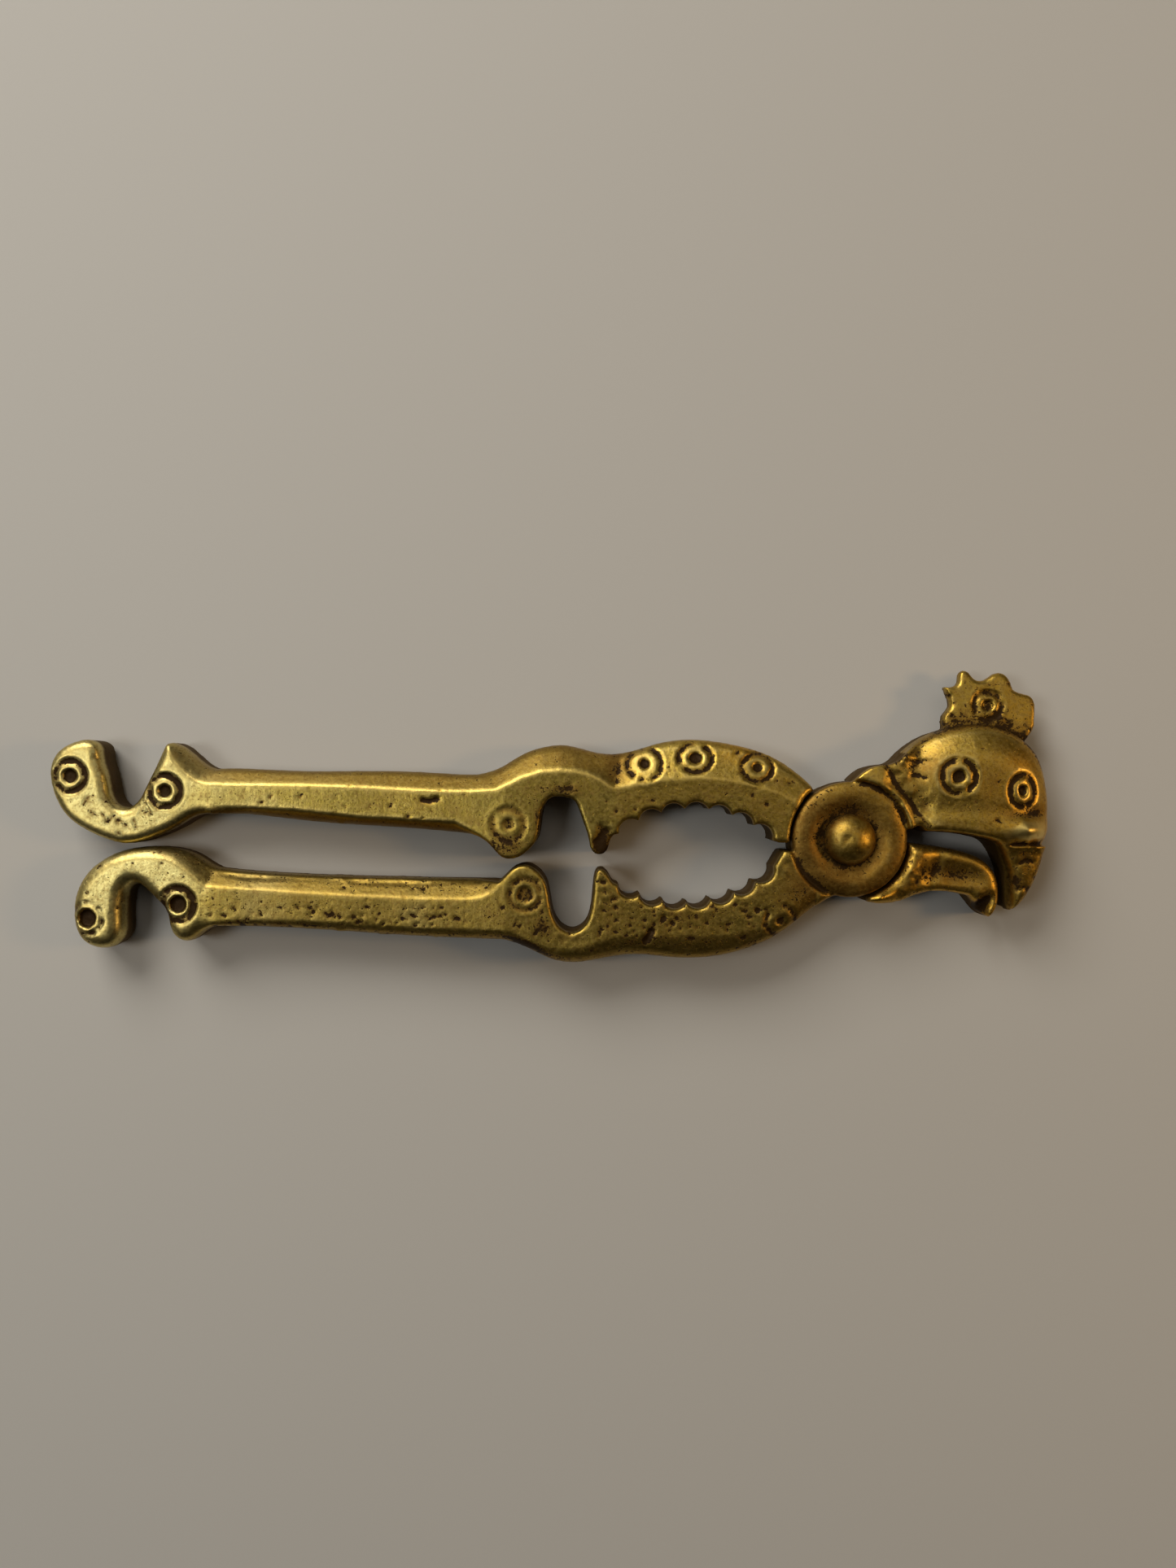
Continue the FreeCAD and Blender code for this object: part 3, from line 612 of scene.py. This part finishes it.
lower.dirt_and_painted_light += neck_skin * (0.06 + 0.28 * rough_noise(lower.x, lower.y, 1.0, 73))
lower.dirt_and_painted_light += 0.55 * step01(0.9, 0.2, lower.edge) * step01(4, 8, lower.x) * step01(10, 12, lower.y)
lower.dirt_and_painted_light += 0.4 * lower.blob(11.0, 13.5, 2.5, 1.2, 40) * step01(3.0, 0.5, lower.edge)

# A nick on the jaw, the punched marks from the hook to the eye, and pits.
lower.groove([(-33.1, -16.3), (-32.2, -14.8)], 0.5, 0.4, 0.9)
lower.mark(-124.3, -12.9, 1.55, 2.2, 3.0, 41, broken=0.7, dot_depth=1.1)
lower.mark(-109.4, -10.6, 1.45, 2.0, 3.3, 42, dot_depth=0.9)
lower.mark(-52.7, -8.9, 1.4, 2.1, 3.0, 43, depth=0.16, broken=0.1, dot_depth=0.25, stain=0.12)
lower.mark(-11.3, -13.15, 0.8, 2.0, 2.9, 44, depth=0.22, broken=0.45, dot_depth=0.3, stain=0.3)
lower.mark(17.15, 10.25, 1.1, 2.1, 3.2, 45, broken=0.2)
lower.mark(27.4, 7.95, 0.8, 1.6, 2.7, 46, squash=1.15, dot_depth=0.6)
lower.pits(50, 51, (-126, -104, -17, -2))
lower.pits(150, 52, (-104, -62, -14.2, -11.0), large=0.34)
lower.pits(30, 53, (-104, -62, -10.5, -7), large=0.3)
lower.pits(90, 54, (-58, -10, -18, -2), large=0.34)
lower.pits(25, 55, (-40, -16, -13, -8))
lower.pits(60, 59, (-41, -14, -15.5, -6.5), small=0.18, large=0.42, depth=0.2)
lower.pits(30, 56, (10, 32, -10, 17), large=0.3)
lower.top += 0.04 * rough_noise(lower.x, lower.y, 4.0, 61)
lower.top += 0.15 * rough_noise(lower.x, lower.y, 0.9, 62) * (
    0.4 * lower.blob(-116, -6, 5, 2) + lower.blob(-45.4, -16, 3.5, 1.2) + lower.blob(-39.6, -8, 1.5, 3.0)
    + lower.blob(-10.5, -4, 2, 3)
)
lower.dirt_and_painted_light += 0.5 * (
    lower.blob(-50.2, -14.2, 1.2, 1.8) + lower.blob(-54, -16.4, 2.5, 0.9, -20)
    + 0.4 * lower.blob(-31.5, -15.6, 2.6, 1.0) + 0.6 * lower.blob(-35, -16.8, 2.4, 0.9)
    + 0.9 * lower.blob(-7, -8.3, 3.4, 1.8, 35) + lower.blob(-51.2, -17.3, 2.4, 0.8, -25)
)
lower.hollows()

# The crest: a thin plate lower than the head, with dirt where it meets the head. The plate follows
# the lever's whole outline at CREST_CUT. It's buried in the lever, except in the crest and inside
# the lap, where it hangs below LAP_BASE, out of sight.
crest_top = 6.3 - 0.12 * np.clip(lower.y - 18, -1, 10) + 0.1 * rough_noise(lower.x, lower.y, 2.0, 63)
is_crest = (lower.edge < 0.2) & (lower.y > 14)
CREST_FOOT = [(15.5, 17.9), (17.5, 18.4), (21.5, 18.8), (25.6, 18.0), (28.6, 16.4), (30.6, 14.2)]
plate = copy.copy(lower)
plate.top = crest_top - quarter_round(crest_edge, 0.7, 0.5)
plate.film_and_painted_light = np.zeros_like(lower.film_and_painted_light)
plate.dirt_and_painted_light = np.zeros_like(lower.dirt_and_painted_light)
plate.mark(23.4, 21.95, 1.0, 1.75, 2.8, 47, broken=0.2)
plate.groove([(20.8, 25.9), (21.3, 24.9), (21.9, 23.9)], 0.3, 0.4, 0.9)
plate.pits(30, 57, (16, 31, 16, 26), large=0.3)
from_head = nearest(sampled(CREST_FOOT), lower.x, lower.y, is_crest)
plate.dirt_and_painted_light += 0.52 * step01(3.3, 0.3, from_head + 1.3 * rough_noise(lower.x, lower.y, 1.1, 64))
crest_top = plate.top
lower.dirt_and_painted_light = np.where(is_crest, plate.dirt_and_painted_light, lower.dirt_and_painted_light)
lower.film_and_painted_light = np.where(is_crest, plate.film_and_painted_light, lower.film_and_painted_light)
map_top = np.where(is_crest, crest_top, lower.top)


def lower_walls(z, slab):
    """The head lever's field: one outline from LAP_BASE up, and the one at LOW_CUT at every height."""
    high = soft_max(soft_max(-lower.edge, slab, 0.45), LAP_BASE - z, 0.2)
    low = soft_max(-lower_low, slab, 0.45)
    return np.maximum(np.minimum(high, low), SHANK - lower.r)


def crest_field(z):
    """The field of the crest's plate."""
    return soft_max(soft_max(-crest_edge, z - crest_top, 0.4), CREST_BASE - z, 0.4)


LOWER_BASE = lower.along((-135, 0.8), (-104, 0.7), (-66, 0.6), (-58, 0.0), (40, 0.0))

# Dirt in the metal's grain, and brown film, by region, with painted shade on the bevels, on the head
# lever's outer face and on the head's left slope, and painted shadow in the V by the knee.
upper.dirt_and_painted_light += upper.along((-130, 0.03), (-60, 0.07), (-40, 0.05), (5, 0.1), (9, 0.2), (25, 0.2))
# Painted shade on the beak lever's outer bevel.
upper.dirt_and_painted_light += 0.12 * step01(0.0, 1.5, past_upper) * upper.along((-112, 1), (-45, 1), (-37, 0.7), (-34, 0))
lower.dirt_and_painted_light += lower.along(
    (-130, 0.05), (-104, 0.12), (-60, 0.15), (-20, 0.16), (5, 0.1), (14, 0.05), (33, 0.15),
)
face_line = np.exp(-(((past_face - 0.5) / 1.6) ** 2)) * (past_face > 0)
lower.dirt_and_painted_light += 0.2 * lower.along((-106, 0), (-100, 1), (-15, 1), (-8, 0)) * face_line
lower.dirt_and_painted_light += 0.12 * lower.blob(-26, -11.5, 12, 3.5)
# Painted shade on the head lever's outer face and on its bevel.
lower.dirt_and_painted_light += 0.14 * step01(0.0, 2.0, past_face) + 0.14 * step01(0.2, 1.5, past_lower)

# Painted shade: a brown coat on the beak lever's outer bevel.
bevel_shade_film = upper.along((-112, 0.3), (-104, 1), (-45, 1), (-36, 0.6), (-30, 0))
upper.film_and_painted_light += 0.6 * step01(0.0, 1.2, past_upper) * bevel_shade_film
# Painted shade on the handle's inner bevel, and painted shadow in the V by the knee.
upper.film_and_painted_light += 0.75 * step01(0.1, 1.0, past_inner) + 0.75 * upper.blob(-38.0, 12.2, 1.6, 3.2)
upper.film_and_painted_light += beak * (0.25 + 0.6 * middle + 0.4 * band) * step01(0.6, 1.6, upper.edge)
flat_film = lower.along((-108, 0), (-98, 0.4), (-62, 0.4), (-50, 0.25), (-4, 0.25), (-2, 0))
# Painted shade on the head lever's outer face and bevel; the flat handle's brown coat is its own colour.
lower.film_and_painted_light += (
    0.2 * step01(0.0, 2.5, past_face) + 0.45 * step01(0.2, 1.2, past_lower)
    + flat_film * (1 - step01(0.3, 1.2, past_lower))
)
# Brown coat at the jaw's root and on the beak, and painted shade on the head's left slope, dimming its
# reflection.
lower.film_and_painted_light += (
    0.8 * lower.blob(-7, -7, 4.5, 3.5, 35) + 0.7 * skull * lower.blob(13, 12.0, 3.5, 3.5) + 0.2 * bill
)
lower.film_and_painted_light += 0.3 * neck_skin

# Tone: pale at the tails, partly worn polish and partly painted highlight, olive on the handles, warmer
# towards the head. The hub is filmed over.
for relief in (upper, lower):
    relief.tone += relief.along(
        (-130, -1.3), (-112, -1.1), (-100, -0.5), (-60, -0.25), (-20, 0.0), (5, 0.25),
        (20, 0.35), (33, 0.9),
    )
    relief.tone += 0.35 * rough_noise(relief.x, relief.y, 9.0, 81, 3)
# A warmer tone on the bulge above the beak, as part of its painted highlight, and at the jaw's root by the
# hub.
lower.tone += 0.8 * lower.blob(28.4, 0.5, 5, 5) + 0.8 * lower.blob(-7, -8, 4, 3, 35)
lower.tone += 0.5 * hub * step01(-5, 8, lower.x - 0.6 * lower.y)
# Painted highlight on the bulge above the beak: less dirt and less brown coat there.
lower.dirt_and_painted_light -= 0.5 * lower.blob(28.5, 1.0, 2.6, 1.3)
lower.film_and_painted_light -= 0.5 * lower.blob(28.5, 1.0, 2.8, 1.5)
grey = hub * step01(6.0, 7.6, lower.r) * step01(2, -3, lower.x - 0.35 * lower.y)
lower.film_and_painted_light += hub * (0.9 + 0.35 * step01(6.2, 4.6, lower.r) + 0.2 * rough_noise(lower.x, lower.y, 2.5, 75))
lower.film_and_painted_light -= hub * 0.35 * step01(6.0, 8.0, lower.r) * step01(0.0, 7.0, lower.x * 0.4 + lower.y)
lower.dirt_and_painted_light += 0.03 * hub + 0.08 * grey + 0.24 * hub * rough_noise(lower.x, lower.y, 1.4, 77)
lower.dirt_and_painted_light += 0.3 * hub * step01(5.8, 4.6, lower.r + 0.12 * (lower.x - lower.y))
upper.tone += 0.8 * upper.blob(-18.5, 14.0, 3, 2) + 0.4 * upper.blob(-41.5, 12, 4, 3)

# ---- rivet: a worn dome with a small dent, turned about the pivot


def turned(profile, around=72):
    """Vertices and quads of a profile of (radius, height) turned about Z, from the axis to the axis."""
    verts = []
    quads = []
    for radius, height in profile:
        for number in range(around):
            angle = 2 * math.pi * number / around
            verts.append((radius * math.cos(angle), radius * math.sin(angle), height))
    for ring in range(len(profile) - 1):
        for number in range(around):
            after = (number + 1) % around
            a, b = ring * around + number, ring * around + after
            quads.append((a, b, b + around, a + around))
    return np.array(verts, float), np.array(quads)


SEAT = 8.15  # height of the dish that the rivet's head sits in
DOME = 4.22  # radius of the rivet's domed head
RISE_OF_DOME = 3.25  # how far the dome stands above its foot
DOME_FOOT = SEAT + 0.3  # where the dome's curve starts
CENTRE = 0.02  # radius that stands for the axis
DOME_RINGS = 26
profile = [
    (CENTRE, 0.0), (4.1, 0.0), (4.3, 0.08), (SHANK, 1.3), (SHANK, SEAT - 0.2), (4.12, SEAT - 0.2),
    (4.2, SEAT + 0.2),
]
for number in range(1, DOME_RINGS + 1):
    lean = math.pi / 2 * number / DOME_RINGS
    height = DOME_FOOT + RISE_OF_DOME * math.sin(lean) ** 0.92
    profile.append((max(DOME * math.cos(lean), CENTRE), height))
verts, quads = turned(profile)
x, y, z = verts.T
dent = np.exp(-(((x + 0.8) / 0.75) ** 2 + ((y - 0.3) / 0.7) ** 2))
z += (z > DOME_FOOT) * (-0.22 * dent + 0.05 * rough_noise(x, y, 1.6, 91))
away = np.hypot(x, y)
verts = np.stack([x, y, z], 1)
# Grime at the dome's foot; the brown coat is heavier to the left, as painted shade dimming the dome's
# reflection there.
rivet = mesh_object("pivot_rivet_turned", verts, quads, {
    "dirt_and_painted_light": np.clip(step01(3.6, 4.2, away) * 0.6 - 0.05 + 0.1 * rough_noise(x, y, 1.2, 92), -0.3, 1),
    "tone": 0.35 + 0.05 * x,
    "film_and_painted_light": np.clip(0.3 + 0.6 * step01(3.0, 4.1, away) - 0.1 * x, 0, 1),
    "wall": 0.0 * x,
})
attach(rivet, "head_body")
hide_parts("pivot_rivet")

upper_casting = lever_object(
    upper, "beak_lever", "beak_body", upper_walls, UPPER_BASE, upper.top
)
lower_casting = lever_object(
    lower, "head_lever", "head_body", lower_walls, LOWER_BASE, map_top, crest_field
)

# ---- materials


class Nodes:
    """A material's node tree, with short names for the nodes that are used here."""

    def __init__(self, name):
        self.material = bpy.data.materials.new(name)
        self.material.use_nodes = True
        self.tree = self.material.node_tree
        self.tree.nodes.clear()

    def link(self, source, target):
        self.tree.links.new(source, target)

    def put(self, socket, value):
        if isinstance(value, bpy.types.NodeSocket):
            self.link(value, socket)
        else:
            socket.default_value = value

    def math(self, kind, a, b):
        node = self.tree.nodes.new("ShaderNodeMath")
        node.operation = kind
        self.put(node.inputs[0], a)
        self.put(node.inputs[1], b)
        return node.outputs[0]

    def ramp(self, value, low, high, to_low=0.0, to_high=1.0):
        node = self.tree.nodes.new("ShaderNodeMapRange")
        node.interpolation_type = "SMOOTHSTEP"
        self.put(node.inputs["Value"], value)
        ends = {"From Min": low, "From Max": high, "To Min": to_low, "To Max": to_high}
        for key, number in ends.items():
            node.inputs[key].default_value = number
        return node.outputs[0]

    def attribute(self, name):
        node = self.tree.nodes.new("ShaderNodeAttribute")
        node.attribute_name = name
        return node.outputs["Fac"]

    def place(self):
        return self.tree.nodes.new("ShaderNodeTexCoord").outputs["Object"]

    def scaled(self, place, x, y, z, turn=0.0):
        node = self.tree.nodes.new("ShaderNodeMapping")
        self.link(place, node.inputs["Vector"])
        node.inputs["Scale"].default_value = (x, y, z)
        node.inputs["Rotation"].default_value = (0, 0, turn)
        return node.outputs[0]

    def noise(self, place, scale, detail, rough):
        node = self.tree.nodes.new("ShaderNodeTexNoise")
        self.link(place, node.inputs["Vector"])
        node.inputs["Scale"].default_value = scale
        node.inputs["Detail"].default_value = detail
        node.inputs["Roughness"].default_value = rough
        return node.outputs["Fac"]

    def mix(self, share, a, b):
        node = self.tree.nodes.new("ShaderNodeMix")
        node.data_type = "RGBA"
        self.put(node.inputs["Factor"], share)
        self.put(node.inputs[6], a)
        self.put(node.inputs[7], b)
        return node.outputs[2]


def old_brass(name):
    """Brass driven by the maps: clean metal, then a brown coating that is partly tarnishing and partly
    painted shade, then black that is partly soiling in the hollows and partly painted shade; side walls get
    near-black painted shade, and below zero the soiling map lightens the metal, partly as rubbing wear and
    partly as a painted highlight.
    """
    n = Nodes(name)
    place = n.place()
    dirt_and_painted_light = n.attribute("dirt_and_painted_light")
    tone = n.attribute("tone")
    wall = n.attribute("wall")
    coat_and_painted_light = n.attribute("film_and_painted_light")
    blotch = n.noise(place, 260.0, 5.0, 0.6)
    fine = n.noise(place, 1500.0, 4.0, 0.6)
    speck = n.noise(place, 2100.0, 3.0, 0.65)
    brushed = n.noise(n.scaled(place, 1.0, 0.12, 1.0, 0.5), 2600.0, 2.0, 0.5)

    olive = (0.42, 0.30, 0.055, 1)
    gold = (0.54, 0.31, 0.035, 1)
    straw = (0.56, 0.46, 0.17, 1)
    pale = (0.60, 0.44, 0.13, 1)
    rubbed_and_highlight = (0.76, 0.56, 0.17, 1)
    brown = (0.20, 0.10, 0.025, 1)
    tarnish_and_shade = (0.19, 0.095, 0.018, 1)
    painted_wall_shade = (0.036, 0.017, 0.004, 1)
    black = (0.032, 0.015, 0.003, 1)
    warmth = n.math("ADD", tone, n.math("MULTIPLY", blotch, 0.5))
    clean = n.mix(n.ramp(warmth, -0.2, 1.3), olive, gold)
    # Towards the tails the colour turns paler, partly worn polish and partly painted highlight.
    clean = n.mix(n.ramp(warmth, -0.1, -0.8), clean, straw)
    clean = n.mix(n.ramp(blotch, 0.52, 0.75, 0.0, 0.35), clean, brown)
    clean = n.mix(n.ramp(fine, 0.35, 0.7, 0.0, 0.4), clean, pale)
    clean = n.mix(n.ramp(speck, 0.5, 0.36, 0.0, 0.45), clean, brown)
    # Below zero the dirt map lightens the metal: rubbed wear on edges, and a painted highlight on the bulge
    # above the beak.
    worn_and_painted_highlight = n.ramp(dirt_and_painted_light, -0.05, -0.45)
    clean = n.mix(worn_and_painted_highlight, clean, rubbed_and_highlight)

    # The side walls add painted shade to this black.
    grime_and_painted_shade = n.math("ADD", dirt_and_painted_light, n.math("MULTIPLY", wall, 0.3))
    grime_and_painted_shade = n.math("ADD", grime_and_painted_shade, n.math("MULTIPLY", n.math("SUBTRACT", fine, 0.5), 1.1))
    grime_and_painted_shade = n.math("ADD", grime_and_painted_shade, n.math("MULTIPLY", n.math("SUBTRACT", blotch, 0.5), 0.7))
    pitted = n.ramp(n.math("ADD", speck, n.math("MULTIPLY", dirt_and_painted_light, 0.24)), 0.64, 0.70)
    grime_and_painted_shade = n.math("ADD", grime_and_painted_shade, n.math("MULTIPLY", pitted, 0.6))
    coat_and_painted_light = n.math("MULTIPLY", coat_and_painted_light, n.ramp(fine, 0.25, 0.65, 1.0, 0.75))
    film_and_painted_light = n.math("MAXIMUM", n.ramp(grime_and_painted_shade, 0.05, 0.6, 0.0, 0.7), coat_and_painted_light)
    grime_and_painted_shade = n.ramp(grime_and_painted_shade, 0.45, 0.72)
    color = n.mix(film_and_painted_light, clean, tarnish_and_shade)
    # Side walls are darkened almost to black, as painted shade.
    color = n.mix(n.math("MULTIPLY", wall, 0.8), color, painted_wall_shade)
    color = n.mix(grime_and_painted_shade, color, black)

    shader = n.tree.nodes.new("ShaderNodeBsdfPrincipled")
    out = n.tree.nodes.new("ShaderNodeOutputMaterial")
    n.link(shader.outputs[0], out.inputs["Surface"])
    n.link(color, shader.inputs["Base Color"])
    dull = n.math("ADD", n.math("MULTIPLY", grime_and_painted_shade, 0.6), n.math("MULTIPLY", wall, 0.4))
    n.link(n.math("SUBTRACT", 1.0, dull), shader.inputs["Metallic"])
    shader.inputs["Specular IOR Level"].default_value = 0.12
    sheen = n.math("ADD", n.ramp(film_and_painted_light, 0.0, 0.9, 0.31, 0.42), n.math("MULTIPLY", blotch, 0.16))
    sheen = n.math("ADD", sheen, n.math("MULTIPLY", wall, 0.2))
    sheen = n.math("ADD", sheen, n.math("MULTIPLY", n.math("SUBTRACT", fine, 0.5), 0.25))
    n.link(sheen, shader.inputs["Roughness"])
    bump = n.tree.nodes.new("ShaderNodeBump")
    bump.inputs["Strength"].default_value = 0.5
    bump.inputs["Distance"].default_value = 0.00012
    height = n.math("ADD", n.math("MULTIPLY", fine, 0.7), n.math("MULTIPLY", brushed, 0.22))
    height = n.math("SUBTRACT", height, n.math("MULTIPLY", pitted, 0.5))
    height = n.math("ADD", height, n.math("MULTIPLY", blotch, 0.35))
    n.link(height, bump.inputs["Height"])
    n.link(bump.outputs[0], shader.inputs["Normal"])
    return n.material


brass = old_brass("old_brass")
for thing in (upper_casting, lower_casting, rivet):
    thing.data.materials.append(brass)

# ---- floor, light and camera


def plain(name, color, rough):
    """A material of one colour, for the floor."""
    n = Nodes(name)
    shader = n.tree.nodes.new("ShaderNodeBsdfPrincipled")
    out = n.tree.nodes.new("ShaderNodeOutputMaterial")
    n.link(shader.outputs[0], out.inputs["Surface"])
    shader.inputs["Base Color"].default_value = color
    shader.inputs["Roughness"].default_value = rough
    return n.material


REACH = 3  # half the floor's side
floor_mesh = bpy.data.meshes.new("floor")
floor_mesh.from_pydata(
    [(-REACH, -REACH, 0), (REACH, -REACH, 0), (REACH, REACH, 0), (-REACH, REACH, 0)], [], [(0, 1, 2, 3)]
)
floor = bpy.data.objects.new("floor", floor_mesh)
bpy.context.scene.collection.objects.link(floor)
floor_mesh.materials.append(plain("floor_pale", (0.55, 0.52, 0.466, 1), 0.8))
floor.location.z = -0.0001  # just under the piece, so that the two never share a plane


def softbox(name, place, aim, wide, tall, power, color):
    """A soft rectangular light at a place, turned towards another."""
    light = bpy.data.lights.new(name, "AREA")
    light.shape = "RECTANGLE"
    light.size = wide
    light.size_y = tall
    light.energy = power
    light.color = color
    thing = bpy.data.objects.new(name, light)
    thing.location = place
    thing.rotation_mode = "QUATERNION"
    thing.rotation_quaternion = (Vector(aim) - Vector(place)).to_track_quat("-Z", "Y")
    bpy.context.scene.collection.objects.link(thing)


softbox("window", (-0.39, 0.57, 0.46), (-0.04, 0.0, 0.0), 0.50, 0.42, 4.3, (1.0, 0.975, 0.93))
softbox("side", (-0.37, 0.0, 0.50), (-0.11, 0.0, 0.0), 0.14, 0.20, 0.55, (0.95, 0.98, 1.0))
softbox("ceiling", (0.20, 0.40, 1.05), (0.0, 0.0, 0.0), 0.8, 0.5, 0.8, (1.0, 0.94, 0.86))
softbox("lamp", (0.40, 0.02, 0.27), (0.02, 0.0, 0.0), 0.08, 0.08, 0.4, (1.0, 0.66, 0.30))

# The room is brighter towards the window than away from it.
world = bpy.data.worlds.new("studio")
bpy.context.scene.world = world
world.use_nodes = True
tree = world.node_tree
facing = tree.nodes.new("ShaderNodeVectorMath")
facing.operation = "DOT_PRODUCT"
facing.inputs[1].default_value = (-0.62, 0.75, -0.1)
tree.links.new(tree.nodes.new("ShaderNodeTexCoord").outputs["Generated"], facing.inputs[0])
glow = tree.nodes.new("ShaderNodeMapRange")
glow.inputs["From Min"].default_value = -0.25
glow.inputs["To Min"].default_value = 0.012
glow.inputs["To Max"].default_value = 0.17
tree.links.new(facing.outputs["Value"], glow.inputs["Value"])
tree.links.new(glow.outputs[0], tree.nodes["Background"].inputs["Strength"])
tree.nodes["Background"].inputs["Color"].default_value = (0.82, 0.79, 0.74, 1)

# The camera looks straight down from 200 mm, with a lens that fits the photograph's perspective.
camera_data = bpy.data.cameras.new("camera")
camera_data.lens = 27.04
camera_data.sensor_width = 36.0
camera_data.clip_start = 0.01
camera = bpy.data.objects.new("camera", camera_data)
camera.location = (-0.04253, 0.00904, 0.200)
bpy.context.scene.collection.objects.link(camera)
bpy.context.scene.camera = camera
bpy.context.scene.view_settings.view_transform = "Standard"
